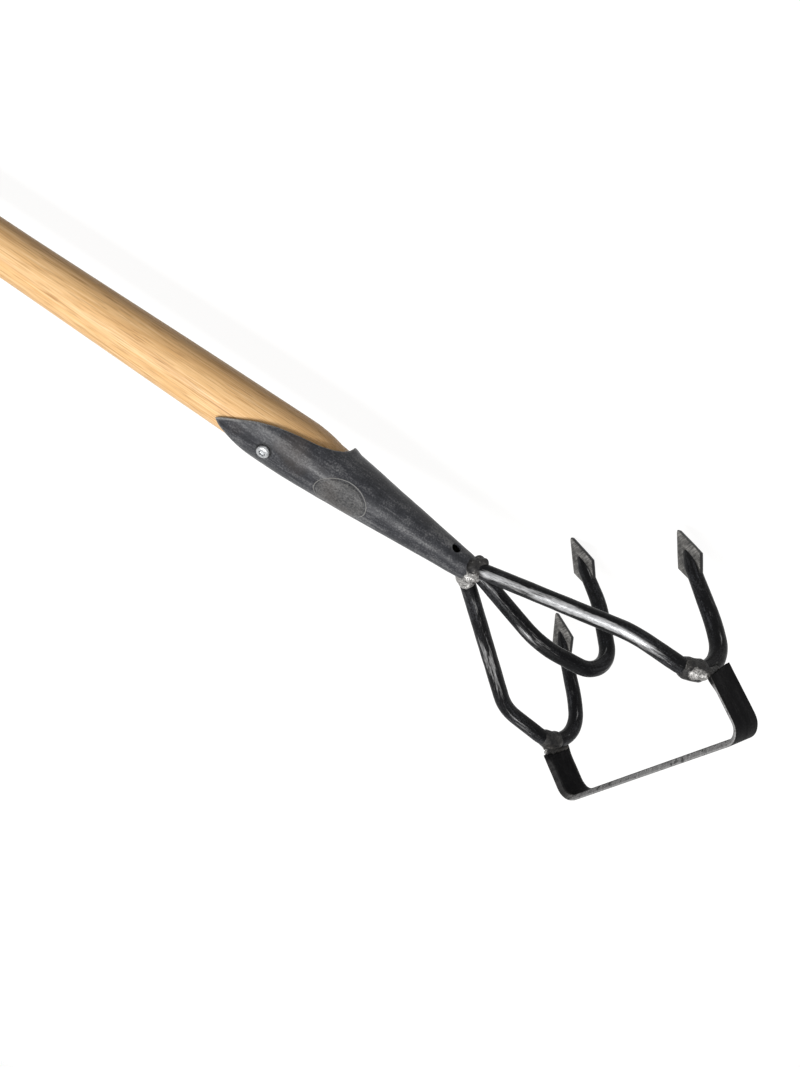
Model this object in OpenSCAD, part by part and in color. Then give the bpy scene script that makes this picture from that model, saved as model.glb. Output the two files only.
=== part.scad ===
// Hand cultivator: three pointed tines and a stirrup blade on a long wooden handle.
// The pieces are drawn in the tool's own axes: x runs along the handle towards the head and is 0
// at the nose of the socket, y is to the left, z is up, away from the points of the tines.
// lay() then sets the whole tool down on its middle point and on the end of its handle.

/* [Handle] */
// Length of the wooden handle, with the stretch inside the socket
handle_len = 1400; // [1000:10:1700]
// Diameter of the straight grip
grip_d = 28; // [25:0.5:30]
// Diameter of the neck, just behind the mouth of the socket
neck_d = 35.6; // [34:0.2:36.4]
// Rounding of the handle's end
butt_round = 7; // [3:0.5:11]
// Distance of the wood's inner end behind the nose of the socket
wood_gap = 25; // [20:1:40]

/* [Socket] */
// Outer diameter of the nose
nose_d = 16; // [15:0.5:20]
// Outer diameter at the mouth
mouth_d = 36.2; // [35.6:0.2:38]
// Length from the nose to the mouth
mouth_x = 97; // [90:1:105]
// Length from the nose to the tip of the tongue
tongue_x = 171; // [165:1:180]
// Distance behind the nose at which the tongue straightens
bell_x = 122; // [115:1:130]
// Outer diameter there
bell_d = 40; // [39:0.2:41]
// Outer diameter at the tip of the tongue, where the cone goes on
tongue_d = 44.6; // [43.6:0.2:46]
// Wall thickness
wall = 1.9; // [1.5:0.1:2]
// Height of the nose above the handle's axis
nose_rise = 5.9; // [5:0.1:7]
// Upward lean of the socket's axis, in degrees
socket_lean = 2.8; // [2.5:0.1:3]
// Turn of the socket round the handle, towards the left, in degrees
socket_turn = 10; // [0:1:15]
// Length of the solid end of the nose
nose_plug = 8; // [5:0.5:10]
// Start of the seam behind the nose
seam_x = 20; // [16:1:40]
// Diameter of the hole in the left side of the nose
nose_hole_d = 6; // [4:0.5:7]
// Distance of that hole behind the nose
nose_hole_x = 14.5; // [12:0.5:20]
// Width of the seam along the underside
seam_w = 1.2; // [0.8:0.1:2]

/* [Screw] */
// Distance of the screw behind the nose
screw_x = 139; // [134:1:150]
// Diameter of the screw's head
screw_head_d = 8; // [7:0.5:9]
// Height of the screw's head
screw_head_h = 2.6; // [2:0.1:3]
// Diameter of the screw's shank
screw_d = 4.4; // [4:0.2:5]
// Length of the screw under its head
screw_len = 28; // [20:1:32]

/* [Tines] */
// Diameter of the tine rod
rod_d = 10; // [9:0.5:10.5]
// Half the distance between the outer tines at their bends
outer_y = 70; // [66:0.5:70]
// Height of the outer tines' arms above the handle's axis
outer_rise = 36; // [34:0.5:38]
// Forward reach of the outer tines' sharp bends
outer_reach = 144; // [142:1:146]
// Depth of the outer points below the handle's axis
outer_drop = 58; // [55:0.5:60]
// Depth of the middle point below the handle's axis
centre_drop = 65; // [62:0.5:68]

/* [Points] */
// Length of a diamond point
point_len = 41; // [37:1:44]
// Width of a diamond point
point_w = 19.6; // [17:0.2:21]
// Thickness of a diamond point
point_t = 3; // [2.5:0.1:4]
// Height of its inner face above the rod's axis
point_lift = 1.2; // [0:0.1:1.5]
// Distance from the tip to the widest place
point_wide = 21.4; // [19:0.2:24]
// Turn of the right point about its rod, towards the middle, in degrees
right_turn = 8; // [0:1:12]
// Distance from the tip to the end of the rod that lies on the point
rod_stop = 14; // [12:0.5:16]
// Length of the ground cone at the end of the rod
rod_cone = 12; // [10:0.5:14]

/* [Stirrup] */
// Outer width of the stirrup
stirrup_w = 157; // [156.6:0.2:160]
// Width of the strap
strap_w = 19.5; // [17:0.5:21]
// Thickness of the strap
strap_t = 3; // [2.5:0.1:3.2]
// Length of a leg along its rear edge, up to the middle of the sole
leg_len = 34.7; // [32:0.1:38]
// Extra length of a leg along its front edge
leg_extra = 4; // [0:0.5:6]
// Outer radius of the two corners
corner_r = 11; // [8:0.5:14]
// Width of the ground bevel along both edges
bevel_w = 2; // [1:0.2:3]
// Lean of the legs, in degrees from upright
stirrup_lean = 47; // [45:0.5:49]
// Slant of the sole: the distance by which the left leg is longer, and the right one shorter
sole_rise = 1.4; // [0:0.1:2.4]

/* [Hidden] */

// Gap left between pieces that lie against each other
gap = 0.15;
// Length by which a cutter passes the face that it cuts
over = 1;

wood_colour = [0.83, 0.66, 0.44];
socket_colour = [0.33, 0.34, 0.37];
rod_colour = [0.16, 0.17, 0.19];
ground_colour = [0.45, 0.45, 0.46];
weld_colour = [0.50, 0.47, 0.43];
zinc_colour = [0.80, 0.81, 0.83];

rod_r = rod_d / 2;
grip_r = grip_d / 2;
neck_r = neck_d / 2;
butt_x = -wood_gap - handle_len;

// Outer radius of the socket along its axis, as distances behind the nose and radii
socket_profile = [[0, nose_d / 2], [mouth_x, mouth_d / 2], [bell_x, bell_d / 2],
                  [tongue_x + over, tongue_d / 2]];
// Height of the tongue's top at the screw, where the screw's head rests
screw_seat = nose_rise - screw_x * tan(socket_lean) + lookup(screw_x, socket_profile) + gap / 3;

// Corners of the tines' centre lines, rounded by the radii beside them. The roots of the outer
// tines lie a little to the left, as the turned socket does.
root_y = 4.4;
root_shift = 1.2;
outer_line = [[0, root_y, 7.2], [80, 66, 32.4], [outer_reach, outer_y, outer_rise],
              [127.4, outer_y - 2.1, -4.8], [92, outer_y - 5.5, -outer_drop]];
outer_bends = [0, 29, 22.5, 80, 0];
centre_line = [[0, 0, 1], [60, 0, 23.8], [114, 0, 17.6], [89.2, 0, -30.3], [56.2, 0, -centre_drop]];
centre_bends = [0, 60, 18, 60, 0];
left_line = shifted(outer_line);
right_line = shifted(mirrored(outer_line));

// The stance: the lower tip of the middle point and the rim of the handle's end touch the floor
centre_out = (centre_line[4] - centre_line[3]) / norm(centre_line[4] - centre_line[3]);
toe = centre_line[4] - (point_t - point_lift) * [centre_out.z, 0, -centre_out.x];
heel = [butt_x + butt_round, 0, -grip_r];
stance_angle = atan2(heel.z - toe.z, toe.x - heel.x);
stance_z = -toe.x * sin(stance_angle) - toe.z * cos(stance_angle);

// Middle of the sole's rear edge, then the foremost place of the stirrup, on its left corner, and
// the middle of the laid tool's length
stirrup_x = 148.6;
stirrup_z = 61.8;
bend_x = stirrup_w / 2 - corner_r;
front = stirrup_place(sole_rise, strap_w);
mid_x = ((front.x + butt_x) * cos(stance_angle) - (front.y + grip_r - butt_round) * sin(stance_angle)) / 2;

function unit(v) = v / norm(v);
function turn(line, i) = acos(unit(line[i] - line[i - 1]) * unit(line[i + 1] - line[i]));
function setback(line, bends, i) = bends[i] == 0 ? 0 : bends[i] * tan(turn(line, i) / 2);
function mirrored(line) = [for (p = line) [p.x, -p.y, p.z]];
function shifted(line) = [for (i = [0 : len(line) - 1]) line[i] + [0, i == 0 ? root_shift : 0, 0]];
// End of a leg of the stirrup, that far across the strap from its rear edge
function leg_top(across) = -leg_len - leg_extra * across / strap_w;
// Side view of a place on the stirrup, from its distances out along the legs and across the strap
function stirrup_place(out, across) = [
    stirrup_x + out * sin(stirrup_lean) + across * cos(stirrup_lean),
    stirrup_z + out * cos(stirrup_lean) - across * sin(stirrup_lean)];

// Sets the tool down on the floor, with the middle of its length over the origin
module lay() {
    translate([-mid_x, 0, stance_z])
    rotate([0, -stance_angle, 0])
    children();
}

// Puts what is drawn along x, y and z on three given axes at a given place
module on_axes(place, ax, ay, az) {
    multmatrix([[ax.x, ay.x, az.x, place.x],
                [ax.y, ay.y, az.y, place.y],
                [ax.z, ay.z, az.z, place.z],
                [0, 0, 0, 1]])
    children();
}

// A round bar from one point to another
module bar(from, to, r) {
    run = to - from;
    translate(from)
    rotate([0, acos(run.z / norm(run)), atan2(run.y, run.x)])
    cylinder(h = norm(run), r = r, $fn = 48);
}

// A ring on the bend at one corner of a centre line, that many degrees round it: a ring is a
// place, a direction and a radius
function bend_ring(line, bends, i, a) =
    let (u = unit(line[i] - line[i - 1]),
         w = unit(line[i + 1] - line[i]),
         inward = unit(w - (w * u) * u),
         centre = line[i] - u * setback(line, bends, i) + inward * bends[i])
    [centre + bends[i] * (u * sin(a) - inward * cos(a)), u * cos(a) + inward * sin(a), rod_r];

// Rings along a whole rod: it starts behind the nose's face, a bend gets a ring every ten degrees
// or so, and the drawn-out end is ground to a blunt cone, short of the tip
function rod_rings(line, bends) =
    let (last = len(line) - 1, out = unit(line[last] - line[last - 1]), root = unit(line[1] - line[0]))
    concat([[line[0] - root * rod_r, root, rod_r]],
        [for (i = [1 : last - 1])
            let (steps = ceil(turn(line, i) / 10))
            for (k = [0 : steps]) bend_ring(line, bends, i, turn(line, i) * k / steps)],
        [for (step = [[rod_stop + rod_cone, 0.9], [rod_stop + 0.8, 0.35], [rod_stop, 0.15]])
            [line[last] - out * step[0], out, rod_r * step[1]]]);

// A closed solid swept along rings, a little fatter or thinner if need be
module sweep(rings, sides, grow) {
    points = [for (ring = rings)
        let (across = unit([0, 1, 0] - ring[1].y * ring[1]), up = cross(ring[1], across))
        for (k = [0 : sides - 1])
            ring[0] + (ring[2] + grow) * (across * cos(360 * k / sides) + up * sin(360 * k / sides))];
    walls = [for (n = [0 : len(rings) - 2]) for (k = [0 : sides - 1])
        let (a = n * sides + k, b = n * sides + (k + 1) % sides)
        each [[a, a + sides, b + sides], [a, b + sides, b]]];
    near_end = [for (k = [0 : sides - 1]) k];
    far_end = [for (k = [sides - 1 : -1 : 0]) (len(rings) - 1) * sides + k];
    polyhedron(points, concat([near_end], walls, [far_end]));
}

module rod(line, bends, grow = 0) {
    sweep(rod_rings(line, bends), 24, grow);
}

// Axes at the tip of a tine: x is sideways, y runs out along the rod, z faces the handle
module at_tip(line) {
    last = len(line) - 1;
    out = unit(line[last] - line[last - 1]);
    side = unit([0, 1, 0] - out.y * out);
    on_axes(line[last], side, out, cross(side, out))
    rotate([0, line == right_line ? right_turn : 0, 0])
    children();
}

// Outline of a diamond point, with its tip at the origin and blunted by an arc
module diamond() {
    blunt = 1.4;
    half = atan2(point_w / 2, point_wide);
    polygon(concat(
        [[-point_w / 2, -point_wide], [0, -point_len], [point_w / 2, -point_wide]],
        [for (a = [half : 15 : 180 - half]) [blunt * cos(a), blunt * (sin(a) - 1)]]));
}

module point(line) {
    color(ground_colour)
    lay()
    at_tip(line)
    translate([0, 0, point_lift - point_t])
    linear_extrude(point_t)
    diamond();
}

// What is cut out of a rod for its point: a flat in front, then a slot that holds the point's rear
module point_seat() {
    slot_stop = rod_stop + rod_cone + 1;
    face = point_lift + gap / 3;
    back = point_lift - point_t - gap / 3;
    rotate([90, 0, 90])
    translate([0, 0, -rod_d])
    linear_extrude(2 * rod_d)
    polygon([[-point_len - gap, face], [-point_len - gap, back], [-slot_stop, back],
             [-slot_stop - rod_r / 2, -rod_d], [over, -rod_d], [over, face]]);
}

// A tine, seated on its point and trimmed at its root
module tine(line, bends) {
    color(rod_colour)
    lay()
    difference() {
        rod(line, bends);
        at_tip(line)
        point_seat();
        // The rods are trimmed where they meet at the nose
        if (line == centre_line)
            for (other = [left_line, right_line])
                bar(other[0] - unit(other[1] - other[0]) * rod_d, other[1], rod_r + gap);
        else
            translate([-rod_d, root_shift + (line[0].y > 0 ? gap / 2 - rod_d : -gap / 2), -rod_d])
            cube([4 * rod_d, rod_d, 4 * rod_d]);
        behind_nose();
    }
}

module centre_tine() { tine(centre_line, centre_bends); }
module left_tine() { tine(left_line, outer_bends); }
module right_tine() { tine(right_line, outer_bends); }
module centre_point() { point(centre_line); }
module left_point() { point(left_line); }
module right_point() { point(right_line); }

// Turns what belongs to the socket round the handle's axis
module turned() {
    rotate([-socket_turn, 0, 0])
    children();
}

// Axes along the socket: z runs back from the nose to the mouth, x is up
module along_socket() {
    translate([0, 0, nose_rise])
    rotate([0, -90 - socket_lean, 0])
    children();
}

// Cuts off what lies behind the face of the nose
module behind_nose() {
    turned()
    along_socket()
    translate([-2 * nose_d, -2 * nose_d, -gap])
    cube(4 * nose_d);
}

// Solid of the socket's outside, or of its hollow when a wall is taken off
module socket_cone(from, less) {
    rotate_extrude($fn = 96)
    polygon(concat([[0, from], [lookup(from, socket_profile) - less, from]],
                   [for (p = socket_profile) if (p[0] > from) [p[1] - less, p[0]]],
                   [[0, tongue_x + over]]));
}

// Side view of what is cut away below the tongue: a long scarf that ends in a hollow curve, with
// a sharp corner at the mouth
module mouth_side() {
    tip = [-tongue_x - 2, 20.5];
    belly = [-141, 13.6];
    hollow = [-110, 7.8];
    hollow_r = 14;
    edge_x = 2.6 - mouth_x;
    behind = -tongue_x - 20;
    scarf = [for (t = [0 : 0.2 : 1]) (1 - t) * (1 - t) * tip + 2 * t * (1 - t) * belly + t * t * hollow];
    hook = [for (a = [15 : 15 : 75]) hollow + hollow_r * [sin(a), cos(a) - 1]];
    polygon(concat([[behind, 30]], scarf, hook, [[edge_x, -40], [behind, -40]]));
}

// Seen from above, the tongue ends in a pointed arch
module tongue_plan() {
    arch = 32;
    half_w = 19;
    edge = [for (u = [0 : 0.125 : 1]) [-tongue_x + arch * u, half_w * sin(90 * u)]];
    polygon(concat(edge, [[20, 40], [20, -40]], [for (k = [8 : -1 : 1]) [edge[k].x, -edge[k].y]]));
}

module socket() {
    tall = 40;
    color(socket_colour)
    lay()
    turned()
    difference() {
        intersection() {
            along_socket()
            difference() {
                socket_cone(0, 0);
                socket_cone(nose_plug, wall);
            }
            translate([0, 0, -tall])
            linear_extrude(2 * tall)
            tongue_plan();
        }
        rotate([90, 0, 0])
        translate([0, 0, -tall])
        linear_extrude(2 * tall)
        mouth_side();
        // Seam of the rolled sheet, along the underside
        along_socket()
        translate([-tall, -seam_w / 2, seam_x])
        cube([tall, seam_w, tongue_x]);
        // The hole points straight to the left, whatever the socket's turn
        translate([-nose_hole_x, 0, nose_rise - 0.5])
        rotate([socket_turn - 90, 0, 0])
        cylinder(h = nose_d, d = nose_hole_d, $fn = 48);
        translate([-screw_x, 0, 0])
        cylinder(h = tall, d = screw_d + 0.6, $fn = 48);
    }
}

// The handle: a long grip, a neck that swells towards the head, a rounded shoulder and a cone
// inside the socket
module handle() {
    round_steps = [for (a = [0 : 15 : 90])
        [grip_r - butt_round + butt_round * sin(a), butt_x + butt_round - butt_round * cos(a)]];
    swell = [[-350, 0], [-310, 0.3], [-258, 1.35], [-200, 2.6]];
    shoulder = [[-124, 0], [-118, 0.3], [-112, 0.9], [-107, 1.8], [-103.5, 2.6], [-98, 3.2]];
    shaft = concat([[0, butt_x]], round_steps,
        [for (p = swell) [grip_r + p[1], p[0]]],
        [for (p = shoulder) [neck_r - p[1], p[0]]],
        [[0, shoulder[5][0]]]);
    // The cone has a little play in the socket, and its wide end lies inside the shoulder
    cone_r = lookup(wood_gap, socket_profile) - wall - 0.2;
    cone_end = mouth_x + 11;
    cone_end_r = neck_r - 4.1;
    color(wood_colour)
    lay()
    difference() {
        union() {
            rotate([0, 90, 0])
            rotate_extrude($fn = 96)
            polygon(shaft);
            turned()
            along_socket()
            translate([0, 0, wood_gap])
            cylinder(h = cone_end - wood_gap, r1 = cone_r, r2 = cone_end_r, $fn = 96);
        }
        turned()
        translate([-screw_x, 0, screw_seat - screw_len - over])
        cylinder(h = screw_len, d = screw_d + 2 * gap, $fn = 48);
    }
}

// Pan-head wood screw through the tongue, with a six-sided recess
module socket_screw() {
    recess_d = 4.2;
    recess_h = 1.4;
    rim_h = 0.6 * screw_head_h;
    point_h = 4;
    color(zinc_colour)
    lay()
    turned()
    translate([-screw_x, 0, screw_seat])
    difference() {
        union() {
            cylinder(h = rim_h, d = screw_head_d, $fn = 48);
            translate([0, 0, rim_h])
            cylinder(h = screw_head_h - rim_h, d1 = screw_head_d, d2 = screw_head_d - 2, $fn = 48);
            translate([0, 0, point_h - screw_len])
            cylinder(h = screw_len - point_h, d = screw_d, $fn = 48);
            translate([0, 0, -screw_len])
            cylinder(h = point_h, d1 = 1, d2 = screw_d, $fn = 48);
        }
        translate([0, 0, screw_head_h - recess_h])
        cylinder(h = recess_h + over, d = recess_d, $fn = 6);
    }
}

// Axes of the stirrup: x is sideways, y runs out along the legs, z across the strap
module on_stirrup() {
    on_axes([stirrup_x, 0, stirrup_z], [0, 1, 0],
            [sin(stirrup_lean), 0, cos(stirrup_lean)],
            [cos(stirrup_lean), 0, -sin(stirrup_lean)])
    children();
}

// The bent strap, with its two legs, before its edges are ground
module strap() {
    half = stirrup_w / 2;
    leg_all = leg_len + leg_extra;
    for (side = [0, 1])
        mirror([side, 0, 0]) {
            bend_y = (side == 0 ? sole_rise : -sole_rise) - corner_r;
            translate([half - strap_t, -leg_all, 0])
            cube([strap_t, leg_all + bend_y, strap_w]);
            translate([bend_x, bend_y, 0])
            rotate_extrude(angle = 90, $fn = 96)
            translate([corner_r - strap_t, 0])
            square([strap_t, strap_w]);
        }
    linear_extrude(strap_w)
    polygon([[-bend_x, -sole_rise - strap_t], [bend_x, sole_rise - strap_t],
             [bend_x, sole_rise], [-bend_x, -sole_rise]]);
}

module stirrup_blade() {
    land = 1;
    color(rod_colour)
    lay()
    on_stirrup()
    difference() {
        strap();
        // Both edges of the sole are ground to a bevel on the inner side
        for (far = [0, 1])
            rotate([0, 0, atan(sole_rise / bend_x)])
            translate([0, 0, far * strap_w])
            mirror([0, 0, far])
            rotate([0, -90, 0])
            translate([0, 0, -bend_x])
            linear_extrude(2 * bend_x)
            polygon([[-over, -land + over * (strap_t - land) / bevel_w], [-over, -strap_t - over],
                     [bevel_w, -strap_t - over], [bevel_w, -strap_t], [0, -land]]);
        // The tops of the legs are cut on the slant, longer at the front
        rotate([0, -90, 0])
        translate([0, 0, -stirrup_w])
        linear_extrude(2 * stirrup_w)
        polygon([[-over, leg_top(-over)], [-over, -2 * leg_len],
                 [strap_w + over, -2 * leg_len], [strap_w + over, leg_top(strap_w + over)]]);
    }
}

// Weld metal that wraps the roots of the three rods against the nose of the socket
module nose_weld() {
    collar_r = rod_r + 1.7;
    color(weld_colour)
    lay()
    difference() {
        for (line = [left_line, right_line, centre_line])
            translate(line[0] + unit(line[1] - line[0]) * 2.6)
            sphere(r = collar_r, $fn = 48);
        for (line = [left_line, right_line, centre_line])
            bar(line[0] - unit(line[1] - line[0]) * rod_d, line[1], rod_r + gap);
        behind_nose();
    }
}

// Beads that hold one leg of the stirrup: one in the corner between the outer curve of the tine's
// bend and the inner face of the leg, one along the slanted top of the leg
module stirrup_weld(side) {
    line = side > 0 ? left_line : right_line;
    bead_r = 2.2;
    fade = [0.4, 1, 1, 1, 0.4];
    inner_y = stirrup_w / 2 - strap_t;
    first_turn = 27;
    turn_step = 11;
    sink = 1;
    reach = 40;
    inside = [for (k = [0 : 4])
        let (ring = bend_ring(line, outer_bends, 2, first_turn + turn_step * k),
             away = unit(cross(ring[1], [0, 1, 0])),
             place = ring[0] + away * (rod_r + 0.6))
        [[place.x, side * (inner_y - sink), place.z], ring[1], bead_r * fade[k]]];
    top_rear = stirrup_place(leg_top(0), 0);
    top_front = stirrup_place(leg_top(strap_w), strap_w);
    along = (top_front - top_rear) / norm(top_front - top_rear);
    outside = [for (k = [0 : 4])
        let (place = top_rear + (top_front - top_rear) * k / 4 + [along.y, -along.x] * (bead_r - sink))
        [[place.x, side * (inner_y + bead_r - sink), place.y], [along.x, 0, along.y], bead_r * fade[k]]];
    color(weld_colour)
    lay()
    difference() {
        union() {
            difference() {
                sweep(inside, 10, 0);
                translate([0, side > 0 ? inner_y - gap : -inner_y + gap - reach, -reach])
                cube([5 * reach, reach, 3 * reach]);
            }
            difference() {
                sweep(outside, 10, 0);
                on_stirrup()
                rotate([0, -90, 0])
                translate([0, 0, -stirrup_w])
                linear_extrude(2 * stirrup_w)
                polygon([[-reach, leg_top(-reach) - gap], [-reach, reach], [reach, reach],
                         [reach, leg_top(reach) - gap]]);
            }
        }
        rod(line, outer_bends, gap);
    }
}

module left_stirrup_weld() { stirrup_weld(1); }
module right_stirrup_weld() { stirrup_weld(-1); }

handle();
socket();
socket_screw();
centre_tine();
left_tine();
right_tine();
centre_point();
left_point();
right_point();
stirrup_blade();
nose_weld();
left_stirrup_weld();
right_stirrup_weld();
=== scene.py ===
"""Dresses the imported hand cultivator: detailed pieces, materials, light and camera.

Every piece is drawn in the tool's own axes in millimetres, as in the part's source: x runs along
the handle towards the head and is 0 at the nose of the socket, y is to the left, z is up, away
from the points of the tines. LAY then puts it in the frame, in metres.
"""

import math
from collections import namedtuple

import bpy
from mathutils import Matrix, Vector, noise


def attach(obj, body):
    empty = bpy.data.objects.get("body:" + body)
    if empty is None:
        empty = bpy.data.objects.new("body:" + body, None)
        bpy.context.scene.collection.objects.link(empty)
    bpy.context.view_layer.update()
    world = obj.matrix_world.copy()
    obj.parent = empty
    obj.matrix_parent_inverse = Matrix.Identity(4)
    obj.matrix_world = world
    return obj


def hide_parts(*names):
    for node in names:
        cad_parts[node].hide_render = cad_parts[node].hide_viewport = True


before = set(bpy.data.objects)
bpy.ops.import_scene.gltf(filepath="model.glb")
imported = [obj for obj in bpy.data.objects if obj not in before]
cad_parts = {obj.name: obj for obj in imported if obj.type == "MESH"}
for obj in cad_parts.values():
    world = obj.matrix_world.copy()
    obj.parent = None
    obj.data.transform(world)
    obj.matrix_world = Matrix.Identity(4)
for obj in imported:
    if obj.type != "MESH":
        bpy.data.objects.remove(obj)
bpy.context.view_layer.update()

MM = 0.001

# Handle
HANDLE_LEN = 1400
GRIP_R = 14
NECK_R = 17.8
BUTT_ROUND = 7
# Distance of the wood's inner end behind the nose of the socket
WOOD_GAP = 25
BUTT_X = -WOOD_GAP - HANDLE_LEN

# Socket. Its profile is in distances behind the nose and outer radii.
NOSE_RISE = 5.9
SOCKET_LEAN = math.radians(2.8)
SOCKET_TURN = math.radians(10)
MOUTH = 97
SOCKET_PROFILE = [(0, 8), (MOUTH, 18.1), (122, 20), (172, 22.3)]
WALL = 1.9
NOSE_PLUG = 8
NOSE_HOLE_X = -14.5
NOSE_HOLE_R = 3
SEAM_START = 20
SEAM_DEPTH = 1.3
OVAL_X = -88
OVAL_LONG = 17
OVAL_SHORT = 11.5
# End of the sheet, as degrees round from the top and distances behind the nose
SCARF = [(0, 171), (8, 167.5), (15, 163), (24, 157.5), (35, 150), (47, 138.5), (55, 127), (62, 115),
         (72, 107), (84, 101.5), (98, 98.6), (113, 97.4), (128, 97.2), (136, 95.6), (180, 95.4)]

# Screw
SCREW_X = -139
SCREW_HEAD_R = 4
SCREW_HEAD_H = 2.6
SCREW_R = 2.2
SCREW_LEN = 28

# Tines: corners of their centre lines, and the radii that round these corners
ROD_R = 5
OUTER_LINE = [(0, 4.4, 7.2), (80, 66, 32.4), (144, 70, 36), (127.4, 67.9, -4.8), (92, 64.5, -58)]
OUTER_BENDS = [0, 29, 22.5, 80, 0]
CENTRE_LINE = [(0, 0, 1), (60, 0, 23.8), (114, 0, 17.6), (89.2, 0, -30.3), (56.2, 0, -65)]
CENTRE_BENDS = [0, 60, 18, 60, 0]
# The roots of the outer tines lie a little to the left, as the turned socket does
ROOT_SHIFT = 1.2
LEFT_LINE, RIGHT_LINE = ([(x, side * y + (ROOT_SHIFT if x == 0 else 0), z) for x, y, z in OUTER_LINE]
                         for side in (1, -1))

# Points
POINT_LEN = 41
POINT_W = 19.6
POINT_T = 3
# Height of a point's inner face above the rod's axis, and distance from its tip to its widest place
POINT_LIFT = 1.2
POINT_WIDE = 21.4
RIGHT_TURN = math.radians(8)
# Distance from the tip to the end of the rod, and length of the rod's ground cone
ROD_STOP = 14
ROD_CONE = 12

# Stirrup
STIRRUP_W = 157
STRAP_W = 19.5
STRAP_T = 3
LEG_LEN = 34.7
LEG_EXTRA = 4
CORNER_R = 11
BEVEL_W = 2
BEVEL_LAND = 1
STIRRUP_LEAN = math.radians(47)
# Middle of the sole's rear edge
STIRRUP_X = 148.6
STIRRUP_Z = 61.8
SOLE_RISE = 1.4
HALF_W = STIRRUP_W / 2
BEND_X = HALF_W - CORNER_R

# Welds: distance between drops, and size of the grid on which they run together
DROP_STEP = 1.6
LUMP_GRID = 0.4

# Sockets of a colour mix, told by number because several of them share a name
MIX_FACTOR, MIX_A, MIX_B, MIX_RESULT = 0, 6, 7, 2

WHITE = (1, 1, 1)


# Axes and small sums

def lookup(x, table):
    """Straight-line value at x in a table of (x, value), flat beyond its ends."""
    if x <= table[0][0]:
        return table[0][1]
    for (x0, v0), (x1, v1) in zip(table, table[1:]):
        if x <= x1:
            return v0 + (v1 - v0) * (x - x0) / (x1 - x0)
    return table[-1][1]


def smooth_lookup(x, table, span):
    """lookup, with the table's corners rounded over a span."""
    return (lookup(x - span, table) + 2 * lookup(x, table) + lookup(x + span, table)) / 4


def fade_in(x, low, high):
    """0 up to low, 1 from high on, and smooth between them."""
    t = min(max((x - low) / (high - low), 0), 1)
    return t * t * (3 - 2 * t)


def fade_out(x, low, high):
    """1 up to low, 0 from high on, and smooth between them."""
    return fade_in(-x, -high, -low)


def rough(p, size, seed=0.0):
    """Smooth noise from -1 to 1 at a place, with features of about that size."""
    return noise.noise(Vector(p) / size + Vector((seed, 2 * seed, 3 * seed)))


def on_axes(place, ax, ay, az):
    """Matrix that puts x, y and z on three given axes at a given place."""
    m = Matrix((ax, ay, az)).transposed().to_4x4()
    m.translation = place
    return m


# The socket is turned round the handle. Along it, z runs back from the nose and x is up.
TURNED = Matrix.Rotation(-SOCKET_TURN, 4, "X")
ALONG_SOCKET = (Matrix.Translation((0, 0, NOSE_RISE))
                @ Matrix.Rotation(-math.pi / 2 - SOCKET_LEAN, 4, "Y"))
# On the stirrup, x is sideways, y runs out along the legs and z across the strap
ON_STIRRUP = on_axes((STIRRUP_X, 0, STIRRUP_Z), (0, 1, 0),
                     (math.sin(STIRRUP_LEAN), 0, math.cos(STIRRUP_LEAN)),
                     (math.cos(STIRRUP_LEAN), 0, -math.sin(STIRRUP_LEAN)))


def tool_stance():
    """Matrix from the tool's own axes to the frame: it stands on its middle point and its butt."""
    tip, before = Vector(CENTRE_LINE[-1]), Vector(CENTRE_LINE[-2])
    out = (tip - before).normalized()
    toe = tip - (POINT_T - POINT_LIFT) * Vector((out.z, 0, -out.x))
    heel = Vector((BUTT_X + BUTT_ROUND, 0, -GRIP_R))
    angle = math.atan2(heel.z - toe.z, toe.x - heel.x)
    height = -toe.x * math.sin(angle) - toe.z * math.cos(angle)
    front = ON_STIRRUP @ Vector((0, SOLE_RISE, STRAP_W))
    middle = ((front.x + BUTT_X) * math.cos(angle)
              - (front.z + GRIP_R - BUTT_ROUND) * math.sin(angle)) / 2
    return Matrix.Translation((-middle * MM, 0, height * MM)) @ Matrix.Rotation(-angle, 4, "Y")


LAY = tool_stance()


# Meshes and objects

def placed(name, data):
    """A new object in the scene."""
    obj = bpy.data.objects.new(name, data)
    bpy.context.scene.collection.objects.link(obj)
    return obj


def tube_mesh(name, rings):
    """A mesh over rings of points of equal count, in millimetres, with its ends closed."""
    count = len(rings[0])
    points = [p for ring in rings for p in ring]
    faces = []
    for i in range(len(rings) - 1):
        a, b = i * count, (i + 1) * count
        for k in range(count):
            n = (k + 1) % count
            faces.append((a + k, a + n, b + n, b + k))
    # The first end faces the other way round
    for ring, start, turn in ((rings[0], 0, -1), (rings[-1], len(points) - count, 1)):
        points.append(sum((Vector(p) for p in ring), Vector()) / count)
        for k in range(count):
            pair = (start + k, start + (k + 1) % count)
            faces.append((len(points) - 1, *pair[::turn]))
    mesh = bpy.data.meshes.new(name)
    mesh.from_pydata([tuple(Vector(p) * MM) for p in points], [], faces)
    mesh.update()
    return mesh


def paint(mesh, name, values):
    """Keeps one number per vertex for the materials, such as how worn an edge is. It is 0 on the
    last vertices where no number is given for them."""
    layer = mesh.attributes.new(name, "FLOAT", "POINT")
    missing = len(mesh.vertices) - len(values)
    layer.data.foreach_set("value", values + [0.0] * missing)


def paint_flow(mesh, vectors):
    """Keeps a straightened place per vertex, so that streaks follow a bent rod."""
    layer = mesh.attributes.new("flow", "FLOAT_VECTOR", "POINT")
    layer.data.foreach_set("vector", [c for v in vectors for c in v])


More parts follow.
